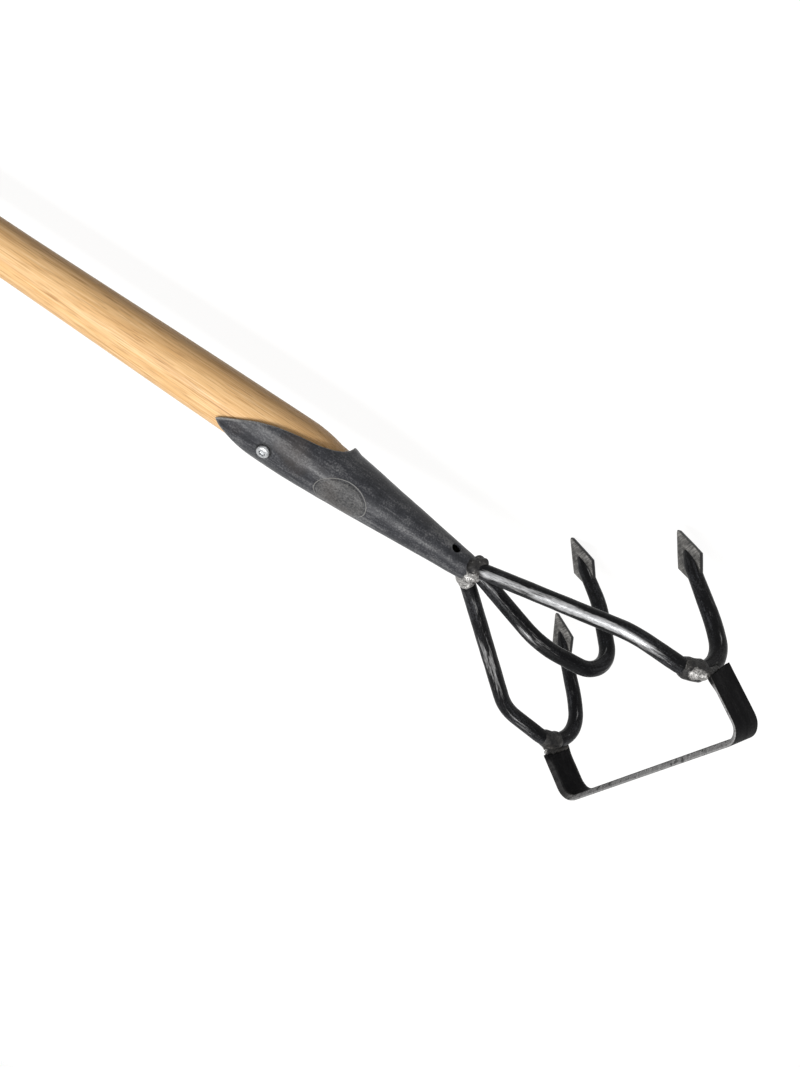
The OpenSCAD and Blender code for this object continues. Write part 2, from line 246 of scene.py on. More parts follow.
def piece(name, mesh, material, slot, *nodes, sharp=35):
    """Makes the piece that stands for these CAD nodes."""
    if "flow" not in mesh.attributes:
        paint_flow(mesh, [vertex.co for vertex in mesh.vertices])
    mesh.transform(LAY)
    mesh.shade_smooth()
    mesh.set_sharp_from_angle(angle=math.radians(sharp))
    mesh.materials.append(material)
    obj = placed(name, mesh)
    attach(obj, "root")
    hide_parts(*nodes)


def result_mesh(obj, *helpers):
    """The mesh that an object's modifiers make. The object and its helpers are removed."""
    graph = bpy.context.evaluated_depsgraph_get()
    mesh = bpy.data.meshes.new_from_object(obj.evaluated_get(graph))
    for used in (obj, *helpers):
        bpy.data.objects.remove(used)
    return mesh


def cut(mesh, cutters):
    """Takes cutter meshes out of a mesh, and returns the new one."""
    body = placed("cut_body", mesh)
    tools = [placed("cutter", cutter) for cutter in cutters]
    for tool in tools:
        modifier = body.modifiers.new("hole", "BOOLEAN")
        modifier.operation = "DIFFERENCE"
        modifier.solver = "EXACT"
        modifier.object = tool
    return result_mesh(body, *tools)


def circle(matrix, radius, height, count):
    """Ring of points round the z axis of a matrix."""
    return [matrix @ Vector((radius * math.cos(a), radius * math.sin(a), height))
            for a in (2 * math.pi * k / count for k in range(count))]


def hole_cutter(matrix, radius, low, high):
    """A round cutter along the z axis of a matrix."""
    sides = 32
    return tube_mesh("hole", [circle(matrix, radius, z, sides) for z in (low, high)])


# Node materials

class Nodes:
    """One node tree: helpers that add nodes and return their output sockets."""

    def __init__(self, tree):
        self.tree = tree

    def add(self, kind, settings=(), **inputs):
        """Adds a node with its settings, and feeds its inputs of these names."""
        node = self.tree.nodes.new(kind)
        for key, value in dict(settings).items():
            setattr(node, key, value)
        for key, value in inputs.items():
            self.feed(node.inputs[key.replace("_", " ")], value)
        return node

    def feed(self, socket, value):
        if isinstance(value, bpy.types.NodeSocket):
            self.tree.links.new(value, socket)
        else:
            socket.default_value = value

    def flow(self):
        """The tool's own axes, or a straightened place on a bent piece, in metres."""
        return self.kept("flow", "Vector")

    def kept(self, name, output="Fac"):
        """What a mesh keeps under that name."""
        return self.add("ShaderNodeAttribute", {"attribute_name": name}).outputs[output]

    def stretched(self, vector, scale, turn=(0, 0, 0), move=(0, 0, 0)):
        """A place scaled, turned and moved, so that noise over it is drawn out."""
        return self.add("ShaderNodeMapping", Vector=vector, Location=move, Rotation=turn,
                        Scale=scale).outputs["Vector"]

    def noise(self, vector, scale=1.0, detail=3.0, roughness=0.7, distortion=0.0):
        return self.add("ShaderNodeTexNoise", Vector=vector, Scale=scale, Detail=detail,
                        Roughness=roughness, Distortion=distortion).outputs["Fac"]

    def ramp(self, factor, *stops):
        """Stops are a place from 0 to 1 and a colour, or a number for a grey."""
        node = self.add("ShaderNodeValToRGB", Fac=factor)
        elements = node.color_ramp.elements
        while len(elements) < len(stops):
            elements.new(0.5)
        for element, (position, colour) in zip(elements, stops):
            element.position = position
            element.color = (*colour, 1) if isinstance(colour, tuple) else (colour,) * 3 + (1,)
        return node.outputs["Color"]

    def mix(self, factor, a, b):
        node = self.add("ShaderNodeMix", {"data_type": "RGBA"})
        for index, value in ((MIX_FACTOR, factor), (MIX_A, a), (MIX_B, b)):
            self.feed(node.inputs[index], (*value, 1) if isinstance(value, tuple) else value)
        return node.outputs[MIX_RESULT]

    def maths(self, operation, a, b):
        node = self.add("ShaderNodeMath", {"operation": operation})
        self.feed(node.inputs[0], a)
        self.feed(node.inputs[1], b)
        return node.outputs[0]

    def plus(self, a, b):
        return self.maths("ADD", a, b)

    def minus(self, a, b):
        return self.maths("SUBTRACT", a, b)

    def times(self, a, b):
        return self.maths("MULTIPLY", a, b)

    def blend(self, first, *others):
        """Sum of values, each given with its share."""
        total = self.times(*first)
        for pair in others:
            total = self.plus(total, self.times(*pair))
        return total

    def vectors(self, operation, *values):
        node = self.add("ShaderNodeVectorMath", {"operation": operation})
        for socket, value in zip(node.inputs, values):
            self.feed(socket, value)
        return node.outputs["Value" if operation == "LENGTH" else "Vector"]

    def bump(self, height, distance, strength, below=None):
        """Normals of a relief, laid over the normals below it if there are any."""
        node = self.add("ShaderNodeBump", Height=height, Distance=distance, Strength=strength)
        if below is not None:
            self.feed(node.inputs["Normal"], below)
        return node.outputs["Normal"]

    def white_rays(self):
        """1 for the rays that should find a white studio: the camera's, and reflections."""
        path = self.add("ShaderNodeLightPath")
        return self.maths("MAXIMUM", path.outputs["Is Camera Ray"], path.outputs["Is Glossy Ray"])


class Shader(Nodes):
    """The nodes of one procedural material."""

    def __init__(self, name, **values):
        self.material = bpy.data.materials.new(name)
        self.material.use_nodes = True
        super().__init__(self.material.node_tree)
        self.bsdf = self.tree.nodes["Principled BSDF"]
        for key, value in values.items():
            self.bsdf.inputs[key.replace("_", " ")].default_value = value

    def finish(self, colour, roughness, normal, metallic=None):
        inputs = {"Base Color": colour, "Roughness": roughness, "Normal": normal, "Metallic": metallic}
        for name, value in inputs.items():
            if value is not None:
                self.feed(self.bsdf.inputs[name], value)
        return self.material


def ash_wood():
    """Oiled ash: growth rings cut lengthwise, fine streaks, dark pores and warmer patches."""
    dark, middle, pale = (0.62, 0.37, 0.155), (0.72, 0.465, 0.225), (0.81, 0.575, 0.325)
    late_brown, pore_brown, warm_brown = (0.47, 0.265, 0.11), (0.34, 0.175, 0.065), (0.68, 0.41, 0.18)
    s = Shader("ash_wood", IOR=1.5, Specular_IOR_Level=0.22)
    place = s.flow()
    # The rings' centre lies beside the handle, and the grain runs out of it at a slight slope
    heart = s.stretched(place, (1, 1, 1), turn=(0, math.radians(0.15), math.radians(0.25)),
                        move=(0, 0.031, 0.022))
    wander = s.noise(s.stretched(place, (2.5, 40, 40)), detail=2, roughness=0.55)
    bent = s.vectors("MULTIPLY_ADD", wander, (0, 0.0016, 0.0016), heart)
    rings = s.add("ShaderNodeTexWave",
                  {"wave_type": "RINGS", "rings_direction": "X", "wave_profile": "SAW"},
                  Vector=bent, Scale=115.0).outputs["Fac"]
    late = s.ramp(rings, (0.0, 0.75), (0.12, 0.0), (0.7, 0.0), (1.0, 1.0))
    streaks = s.noise(s.stretched(place, (1.2, 1500, 1500)))
    fibres = s.noise(s.stretched(place, (48, 1900, 1900)), detail=1, roughness=0.55)
    pores = s.ramp(fibres, (0.56, 0.0), (0.64, 1.0))
    patch = s.noise(s.stretched(place, (5, 30, 30)), detail=2, roughness=0.55)
    colour = s.ramp(streaks, (0.35, dark), (0.5, middle), (0.65, pale))
    colour = s.mix(s.times(late, 0.42), colour, late_brown)
    colour = s.mix(s.times(pores, s.plus(s.times(late, 0.4), 0.5)), colour, pore_brown)
    colour = s.mix(s.ramp(patch, (0.35, 0.0), (0.75, 0.3)), colour, warm_brown)
    roughness = s.ramp(streaks, (0.3, 0.5), (0.7, 0.38))
    normal = s.bump(s.minus(streaks, s.times(pores, 0.6)), 0.00012, 0.5)
    return s.finish(colour, roughness, normal)


def scale_steel(name, shades, roughness, specular, streak, speckle=900.0):
    """Forge-blackened steel in three shades, with bare metal on the edges that the mesh keeps as
    worn. Roughness is given for light and for dark scale."""
    s = Shader(name, IOR=1.5, Specular_IOR_Level=specular)
    flow = s.flow()
    blotches = s.noise(flow, scale=75.0, detail=4, roughness=0.65, distortion=0.3)
    grain = s.noise(flow, scale=speckle)
    streaks = s.noise(s.stretched(flow, streak), detail=4, roughness=0.62)
    tone = s.blend((blotches, 0.26), (streaks, 0.36), (grain, 0.38))
    colour = s.ramp(tone, *zip((0.39, 0.5, 0.62), shades))
    worn = s.times(s.kept("edge"), s.ramp(grain, (0.3, 0.35), (0.6, 1.0)))
    colour = s.mix(worn, colour, (0.34, 0.34, 0.335))
    rough_value = s.ramp(tone, (0.38, roughness[1]), (0.62, roughness[0]))
    normal = s.bump(s.plus(blotches, s.times(grain, 0.4)), 0.0004, 0.5)
    return s, colour, rough_value, normal


def oval_distance(s, place, x, half_long, half_wide):
    """Distance from a place on top of the socket, in units of an oval's half sizes."""
    scale = (1 / (half_long * MM), 1 / (half_wide * MM), 0)
    return s.vectors("LENGTH", s.stretched(place, scale, move=(-x / half_long, 0, 0)))


def socket_steel():
    """The socket's scale, with a blank stamped oval, a painted shadow ring round the screw and heat tint.
    """
    s, colour, rough_value, normal = scale_steel(
        "forged_socket", ((0.004, 0.005, 0.007), (0.022, 0.0235, 0.029), (0.13, 0.133, 0.14)),
        roughness=(0.36, 0.48), specular=0.3, streak=(28, 330, 330), speckle=1000.0)
    place = s.flow()
    height = s.add("ShaderNodeSeparateXYZ", Vector=place).outputs["Z"]
    top_side = s.ramp(s.times(height, 40.0), (0.2, 0.0), (0.3, 1.0))
    # The oval has a sunk rim, a bright lip that ends sharply and a rougher, lighter field
    distance = oval_distance(s, place, OVAL_X, OVAL_LONG, OVAL_SHORT)
    rim = s.ramp(distance, (0.86, 0.0), (0.93, 1.0), (0.985, 0.15), (1.0, 0.0))
    lip = s.ramp(distance, (0.95, 0.0), (1.0, 1.0), (1.0, 0.0))
    field = s.ramp(distance, (0.88, 1.0), (0.95, 0.0))
    crust = s.noise(place, scale=850.0, roughness=0.75)
    crust_grey = s.ramp(crust, (0.36, (0.015, 0.015, 0.016)), (0.66, (0.16, 0.16, 0.157)))
    colour = s.mix(s.times(s.times(field, top_side), 0.55), colour, crust_grey)
    colour = s.mix(s.times(s.times(lip, top_side), 0.75), colour, (0.34, 0.34, 0.33))
    # Painted shadow: a dark ring on the socket under the rim of the screw's head
    screw_shadow_r = 5.4
    screw_shadow = s.ramp(oval_distance(s, place, SCREW_X, screw_shadow_r, screw_shadow_r), (0.85, 0.9), (1.0, 0.0))
    colour = s.mix(s.times(screw_shadow, top_side), colour, (0.004, 0.004, 0.005))
    # Brownish heat tint in soft patches
    tint = s.noise(s.stretched(place, (30, 30, 30), move=(2, 5, 1)), detail=2, roughness=0.55)
    colour = s.mix(s.ramp(tint, (0.52, 0.0), (0.75, 0.35)), colour, (0.075, 0.056, 0.042))
    sunk = s.plus(rim, s.times(s.times(field, crust), 0.8))
    relief = s.times(s.minus(s.times(lip, 0.6), sunk), top_side)
    return s.finish(colour, rough_value, s.bump(relief, 0.0005, 0.8, normal))


def rod_steel():
    """The rods' black scale, worn to bare metal in streaks, and in a band on the side facing the strip
    light where the mesh says so: a painted highlight.
    """
    s, colour, rough_value, normal = scale_steel(
        "black_rod", ((0.0015, 0.0015, 0.002), (0.0045, 0.0048, 0.0055), (0.042, 0.044, 0.05)),
        roughness=(0.28, 0.40), specular=0.085, streak=(34, 420, 420), speckle=1100.0)
    flow = s.flow()
    grain = s.noise(s.stretched(flow, (260, 900, 900)))
    rub = s.noise(s.stretched(flow, (30, 330, 330), move=(3, 1, 7)), detail=5, roughness=0.68)
    where = s.noise(s.stretched(flow, (14, 90, 90)), detail=2, roughness=0.55)
    # Bare metal comes from random wear, and from the mesh's band on the lit side, which is a painted
    # highlight
    rubbed_sheen = s.plus(s.kept("rubbed_sheen"), s.times(s.minus(where, 0.5), 0.5))
    bare = s.ramp(s.blend((rub, 1.3), (rubbed_sheen, 0.42)), (0.81, 0.0), (1.0, 1.0))
    bare_grey = s.ramp(grain, (0.35, (0.24, 0.243, 0.25)), (0.65, (0.44, 0.443, 0.45)))
    bare_roughness = s.ramp(rub, (0.35, 0.48), (0.65, 0.38))
    return s.finish(s.mix(bare, colour, bare_grey), s.mix(bare, rough_value, bare_roughness),
                    normal, s.times(bare, 0.85))


def strap_steel():
    """The strap's dull scale, with bright scratched metal on its ground edges, darkened on the right leg
    by painted shade.
    """
    s, colour, rough_value, normal = scale_steel(
        "strap_steel", ((0.0015, 0.0015, 0.002), (0.004, 0.004, 0.0045), (0.014, 0.014, 0.015)),
        roughness=(0.5, 0.66), specular=0.06, streak=(60, 240, 60))
    flow = s.flow()
    # The kept ground value also carries the painted shade on the right leg
    ground = s.kept("ground")
    scratches = s.noise(s.stretched(flow, (900, 60, 60)))
    nicks = s.noise(s.stretched(flow, (300, 300, 300), move=(1, 4, 2)))
    bright = s.ramp(scratches, (0.3, (0.15, 0.15, 0.153)), (0.7, 0.36))
    bright = s.mix(s.ramp(nicks, (0.55, 0.0), (0.66, 0.8)), bright, (0.03, 0.03, 0.03))
    return s.finish(s.mix(ground, colour, bright), rough_value, normal, s.times(ground, 0.8))


def ground_steel():
    """The points: ground in two directions, sooty beside the rods and dark on their edges."""
    s = Shader("ground_point", IOR=1.5, Specular_IOR_Level=0.3)
    flow = s.flow()
    scratches = s.noise(s.stretched(flow, (110, 1300, 300), turn=(0, 0, math.radians(14))),
                        detail=4, roughness=0.75)
    across = s.noise(s.stretched(flow, (1500, 90, 300), turn=(0, 0, math.radians(38))))
    patches = s.noise(flow, scale=150.0, roughness=0.6)
    tone = s.blend((scratches, 0.45), (across, 0.2), (patches, 0.35))
    colour = s.ramp(tone, (0.38, (0.03, 0.03, 0.029)), (0.5, (0.13, 0.128, 0.124)),
                    (0.63, (0.38, 0.375, 0.36)))
    soot = s.plus(s.kept("soot"), s.times(s.minus(patches, 0.5), 1.4))
    colour = s.mix(s.ramp(soot, (0.3, 0.0), (0.9, 0.88)), colour, (0.018, 0.017, 0.016))
    side = s.kept("edge")
    colour = s.mix(side, colour, (0.008, 0.008, 0.009))
    roughness = s.ramp(scratches, (0.3, 0.5), (0.7, 0.34))
    metallic = s.times(s.minus(1.0, side), 0.6)
    return s.finish(colour, roughness, s.bump(tone, 0.00012, 0.5), metallic)


def weld_metal():
    """Burnt weld metal, silvery where the mesh says that it is bright."""
    s = Shader("weld_metal", IOR=1.5, Specular_IOR_Level=0.25)
    place = s.flow()
    lumps = s.noise(place, scale=300.0, detail=4, roughness=0.62, distortion=0.6)
    burnt = s.noise(s.stretched(place, (1, 1, 1), move=(0.3, 0.1, 0.2)), scale=120.0, roughness=0.55)
    crust = s.noise(place, scale=900.0)
    silver = s.ramp(s.plus(lumps, s.times(s.kept("bright"), 0.34)), (0.62, 0.0), (0.80, 1.0))
    silver_grey = s.ramp(crust, (0.36, (0.10, 0.098, 0.095)), (0.6, (0.46, 0.452, 0.44)))
    colour = s.ramp(lumps, (0.38, (0.003, 0.003, 0.0035)), (0.62, (0.03, 0.029, 0.028)))
    colour = s.mix(s.ramp(burnt, (0.55, 0.0), (0.75, 0.5)), colour, (0.026, 0.02, 0.015))
    colour = s.mix(silver, colour, silver_grey)
    roughness = s.ramp(crust, (0.35, 0.6), (0.65, 0.4))
    normal = s.bump(s.plus(lumps, s.times(crust, 0.3)), 0.0009, 0.8)
    return s.finish(colour, roughness, normal, s.times(silver, 0.85))


def zinc():
    """Zinc plating with dull patches."""
    s = Shader("zinc_screw", Metallic=1.0, IOR=1.5)
    place = s.flow()
    fine = s.noise(place, scale=1400.0, roughness=0.55)
    dull = s.noise(place, scale=500.0, roughness=0.55)
    colour = s.ramp(fine, (0.3, (0.44, 0.45, 0.46)), (0.7, (0.66, 0.67, 0.68)))
    colour = s.mix(s.ramp(dull, (0.45, 0.0), (0.62, 0.7)), colour, (0.24, 0.245, 0.25))
    return s.finish(colour, s.ramp(fine, (0.3, 0.42), (0.7, 0.28)), s.bump(dull, 0.0002, 0.5))


# Handle

def handle_mesh():
    """The turned handle: rounded butt, straight grip, swelling neck, shoulder, cone in the socket."""
    sides = 96
    swell_x = -355
    neck_x = -124
    swell = [(-350, 0), (-310, 0.3), (-258, 1.35), (-200, 2.6), (neck_x, NECK_R - GRIP_R)]
    shoulder = [(-121, 0.1), (-118, 0.3), (-115, 0.55), (-112, 0.9), (-109.5, 1.3), (-107, 1.8),
                (-105, 2.2), (-103.5, 2.6), (-100, 2.95), (-98.2, 3.2), (-98, 3.5)]
    round_steps = 8
    grip_steps = 60
    swell_step = 5
    grip_x = BUTT_X + BUTT_ROUND
    profile = [(BUTT_X, 0.5), (BUTT_X, 4)]
    for k in range(round_steps + 1):
        a = math.radians(90 * k / round_steps)
        profile.append((grip_x - BUTT_ROUND * math.cos(a), GRIP_R - BUTT_ROUND * (1 - math.sin(a))))
    for k in range(1, grip_steps):
        x = grip_x + (swell_x - grip_x) * k / grip_steps
        profile.append((x, GRIP_R + 0.06 * rough((x, 0, 0), 70)))
    for x in range(swell_x, neck_x, swell_step):
        profile.append((x, GRIP_R + smooth_lookup(x, swell, 12)))
    profile += [(x, NECK_R - drop) for x, drop in shoulder]
    along = Matrix.Rotation(math.pi / 2, 4, "Y")
    rings = [circle(along, r, x, sides) for x, r in profile]
    # The cone has a little play in the socket, and its wide end lies inside the shoulder
    play = 0.2
    ease = 0.6
    cone_r = lookup(WOOD_GAP, SOCKET_PROFILE) - WALL - play
    wide_r = NECK_R - 4.1
    wide_at = MOUTH + 11
    into_socket = TURNED @ ALONG_SOCKET @ Matrix.Rotation(math.pi, 4, "X")
    for s in (MOUTH, 85, 65, 45, WOOD_GAP + ease, WOOD_GAP):
        r = cone_r + (wide_r - cone_r) * (s - WOOD_GAP) / (wide_at - WOOD_GAP)
        rings.append(circle(into_socket, r - (ease if s == WOOD_GAP else 0), -s, sides))
    screw_axis = TURNED @ Matrix.Translation((SCREW_X, 0, 0))
    return cut(tube_mesh("handle", rings), [hole_cutter(screw_axis, SCREW_R + 0.15, -9, 30)])


# Socket

def sheet_end(degrees):
    """Distance behind the nose at which the sheet ends there."""
    return smooth_lookup(abs(degrees), SCARF, 2)


def round_socket(r, degrees, s):
    """Place at a radius, at degrees from the top and at a distance behind the nose."""
    a = math.radians(degrees)
    return ALONG_SOCKET @ Vector((r * math.cos(a), r * math.sin(a), s))


def socket_point(s, degrees, inward):
    """Place on the sheet's outside, or that far inside it."""
    a = math.radians(degrees)
    end = sheet_end(degrees)
    low_side = fade_in(abs(degrees), 92, 120) * fade_out(abs(degrees), 132, 150)
    flare = 0.9 * fade_in(s, end - 6, end) * low_side
    on_cylinder = (s, 20 * math.cos(a), 20 * math.sin(a))
    dent = 0.16 * rough(on_cylinder, 17) + 0.05 * rough(on_cylinder, 5, 4)
    seam = SEAM_DEPTH if s > SEAM_START and abs(degrees) > 178 and inward == 0 else 0
    r = lookup(s, SOCKET_PROFILE) + (flare + dent) * fade_in(s, 2, 10) - inward - seam
    return round_socket(r, degrees, s)


def socket_mesh():
    """The rolled sheet, drawn from the nose out to the scarf's edge, round it and back inside."""
    # Degrees round the socket, from the top, with close pairs at the seam underneath
    columns = [-178.7, -177.6, *(2.5 * k for k in range(-69, 70)), 177.6, 178.7]
    ends = [sheet_end(d) + 0.25 * rough((d / 3, 0, 0), 3, 9) for d in columns]

    def sheet_ring(start, stop, share, inward):
        """Ring at a share of the way from a distance behind the nose to one short of the end."""
        return [socket_point(start + (end - stop - start) * share, d, inward)
                for d, end in zip(columns, ends)]

    outer_steps = 96
    inner_steps = 24
    rounded_nose = ((0, 3), (0, 6.9), (0.25, 7.6), (0.9, 8.0))
    # Distances back from the sheet's end and inwards
    rounded_edge = ((0.9, 0.02), (0.45, 0.12), (0.12, 0.4), (0, 0.8), (0.12, 1.4), (0.5, 1.75))
    rings = [[round_socket(r, d, s) for d in columns] for s, r in rounded_nose]
    rings += [sheet_ring(2, 1.2, k / outer_steps, 0) for k in range(1, outer_steps)]
    rings += [sheet_ring(0, back, 1, inward) for back, inward in rounded_edge]
    rings += [sheet_ring(NOSE_PLUG, 1.5, 1 - k / inner_steps, WALL) for k in range(1, inner_steps + 1)]
    # The hole points straight to the left, whatever the socket's turn
    hole_axis = (Matrix.Translation((NOSE_HOLE_X, 0, NOSE_RISE - 0.5))
                 @ Matrix.Rotation(SOCKET_TURN - math.pi / 2, 4, "X"))
    screw_axis = Matrix.Translation((SCREW_X, 0, 0))
    mesh = cut(tube_mesh("socket", rings), [hole_cutter(hole_axis, NOSE_HOLE_R, 0, 16),
                                            hole_cutter(screw_axis, SCREW_R + 0.3, 0, 30)])
    back_to_socket = ALONG_SOCKET.inverted()
    edge = []
    for vertex in mesh.vertices:
        p = back_to_socket @ (vertex.co / MM)
        gap = sheet_end(math.degrees(math.atan2(p.y, p.x))) - p.z
        edge.append(0.75 * fade_out(gap, 0.3, 1.6))
    paint(mesh, "edge", edge)
    paint_flow(mesh, [vertex.co for vertex in mesh.vertices])
    mesh.transform(TURNED)
    return mesh


# Screw

def screw_mesh():
    """Pan-head screw with a six-lobed recess."""
    seat = NOSE_RISE + SCREW_X * math.tan(SOCKET_LEAN) + lookup(-SCREW_X, SOCKET_PROFILE) + 0.05
    at = TURNED @ Matrix.Translation((SCREW_X, 0, seat))
    count = 72

    def lobed(radius, height, depth):
        return [at @ Vector(((radius + depth * math.cos(6 * a)) * math.cos(a),
                             (radius + depth * math.cos(6 * a)) * math.sin(a), height))
                for a in (2 * math.pi * k / count for k in range(count))]

    profile = [(-SCREW_LEN, 0.3), (-SCREW_LEN + 4, SCREW_R), (-0.4, SCREW_R), (0, SCREW_R + 0.3),
               (0, SCREW_HEAD_R - 0.25), (0.25, SCREW_HEAD_R), (1.2, SCREW_HEAD_R),
               (1.75, SCREW_HEAD_R - 0.16), (2.2, SCREW_HEAD_R - 0.62), (2.48, SCREW_HEAD_R - 1.2),
               (SCREW_HEAD_H, SCREW_HEAD_R - 1.75)]
    rings = [circle(at, r, z, count) for z, r in profile]
    rings += [lobed(1.95, SCREW_HEAD_H, 0.22), lobed(1.85, SCREW_HEAD_H - 0.12, 0.24),
              lobed(1.8, 1.2, 0.24), lobed(0.6, 1.0, 0.0)]
    return tube_mesh("socket_screw", rings)


# Tines

def bend_path(line, bends):
    """Places and directions along a bent centre line: straight stretches and round bends."""
    step_mm = 1.6
    step_degrees = 3.5
    line = [Vector(p) for p in line]
    path = []

    def run(a, b):
        count = max(1, round((b - a).length / step_mm))
        way = (b - a).normalized()
        for k in range(count):
            path.append((a + (b - a) * k / count, way))

    here = line[0]
    for i in range(1, len(line) - 1):
        u, w = (line[i] - line[i - 1]).normalized(), (line[i + 1] - line[i]).normalized()
        turn = u.angle(w)
        setback = bends[i] * math.tan(turn / 2)
        start = line[i] - u * setback
        run(here, start)
        inward = (w - w.dot(u) * u).normalized()
        middle = start + inward * bends[i]
        count = max(2, round(math.degrees(turn) / step_degrees))
        for k in range(count):
            a = turn * k / count
            path.append((middle + bends[i] * (u * math.sin(a) - inward * math.cos(a)),
                         u * math.cos(a) + inward * math.sin(a)))
        here = line[i] + w * setback
    run(here, line[-1])
    path.append((line[-1], (line[-1] - line[-2]).normalized()))
    return path


def square_to(way):
    """Two directions square to a rod's: towards the tool's left, and up."""
    across = (Vector((0, 1, 0)) - way.y * way).normalized()
    return across, way.cross(across)


def tip_axes(line):
    """Axes at the tip of a tine: x sideways, y out along the rod, z towards the handle."""
    tip, before = Vector(line[-1]), Vector(line[-2])
    out = (tip - before).normalized()
    side = square_to(out)[0]
    turn = RIGHT_TURN if line is RIGHT_LINE else 0
    return on_axes(tip, side, out, side.cross(out)) @ Matrix.Rotation(turn, 4, "Y")


# Where a rod's scale is worn off to bare metal in a band on the side facing the strip light, a painted
# highlight: degrees round it, from the tool's left and turning upwards, half width in degrees,
# strength, and length from the root
Band = namedtuple("Band", "degrees half_width strength length")


def rubbed_sheen_at(band, degrees, travelled):
    """How far the scale is worn off at a place round a rod and along it, in the band that lies where the
    strip light's highlight falls: a painted highlight.
    """
    away = abs((degrees - band.degrees + 180) % 360 - 180)
    along = fade_in(travelled, 4, 14) * fade_out(travelled, band.length - 18, band.length + 18)
    return band.strength * along * fade_out(away, 0.5 * band.half_width, 1.6 * band.half_width)


def rod_radius(to_tip):
    """The rod is drawn out a little, then ground to a blunt cone, at a distance from the tip."""
    radius = ROD_R * (0.9 + 0.1 * fade_in(to_tip, ROD_STOP + ROD_CONE, 62))
    if to_tip < ROD_STOP + ROD_CONE:
        t = (to_tip - ROD_STOP) / ROD_CONE
        radius *= 0.16 + 0.84 * math.sin(t * math.pi / 2) ** 0.9
    return radius


def tine_mesh(name, line, bends, seed, band):
    """A hand-bent rod with a ground cone that lies on its point."""
    sides = 40
    tip = Vector(line[-1])
    at_tip = tip_axes(line)
    back_to_tip = at_tip.inverted()
    slot_start = ROD_STOP + ROD_CONE - 1
    nose = TURNED @ Vector((0, 0, NOSE_RISE))
    nose_face = TURNED @ Vector((math.cos(SOCKET_LEAN), 0, math.sin(SOCKET_LEAN)))
    path = [pair for pair in bend_path(line, bends) if (tip - pair[0]).length > ROD_STOP]
    root, root_way = path[0]
    path.insert(0, (root - root_way * 0.8, root_way))
    rings = []
    flow = []
    rubbed_sheen = []
    travelled = 0.0
    before = path[0][0]
    for place, way in path:
        travelled += (place - before).length
        before = place
        across, up = square_to(way)
        radius = rod_radius((tip - place).length)
        ring = []
        for k in range(sides):
            a = 2 * math.pi * k / sides
            spoke = across * math.cos(a) + up * math.sin(a)
            p = place + spoke * radius
            p += spoke * (0.09 * rough(p, 9, seed) + 0.05 * rough(p, 3.5, seed + 5))
            # Ground flat where it lies on the point, with the point's rear let into a slot
            local = back_to_tip @ p
            in_slot = fade_in(-local.y, slot_start, slot_start + 5)
            flat = POINT_LIFT + 0.05 - (ROD_R + POINT_LIFT) * in_slot
            if local.z < flat:
                local.z = flat
                p = at_tip @ local
            # Trimmed to the face of the nose
            ahead = (p - nose).dot(nose_face) - 0.2
            if ahead < 0:
                p -= nose_face * ahead
            ring.append(p)
            flow.append(Vector((travelled, ROD_R * math.cos(a), ROD_R * math.sin(a))) * MM)
            # The band lies where the strip light's highlight falls: a painted highlight on bare metal
            rubbed_sheen.append(rubbed_sheen_at(band, math.degrees(a), travelled))
        rings.append(ring)
    flow += [Vector((0, 0, 0)), Vector((travelled * MM, 0, 0))]
    mesh = tube_mesh(name, rings)
    # A rod has no worn edges
    paint(mesh, "edge", [])
    paint(mesh, "rubbed_sheen", rubbed_sheen)
    paint_flow(mesh, flow)
    return mesh


# Points

def diamond_outline():
    """Outline of a point, from its rear corner round, with its blunt tip at the origin."""
    half = POINT_W / 2
    blunt = 0.9
    side_steps = 14
    tip_steps = 3
    corners = [(0, -POINT_LEN), (half, -POINT_WIDE), (blunt, -blunt), (0, 0), (-blunt, -blunt),
               (-half, -POINT_WIDE)]
    outline = []
    for (x0, y0), (x1, y1) in zip(corners, corners[1:] + corners[:1]):
        count = side_steps if math.hypot(x1 - x0, y1 - y0) > 5 else tip_steps
        for k in range(count):
            t = k / count
            bow = 0.25 * math.sin(math.pi * t) if count == side_steps else 0
            x, y = x0 + (x1 - x0) * t, y0 + (y1 - y0) * t
            outline.append((x * (1 + bow / half), y))
    return outline


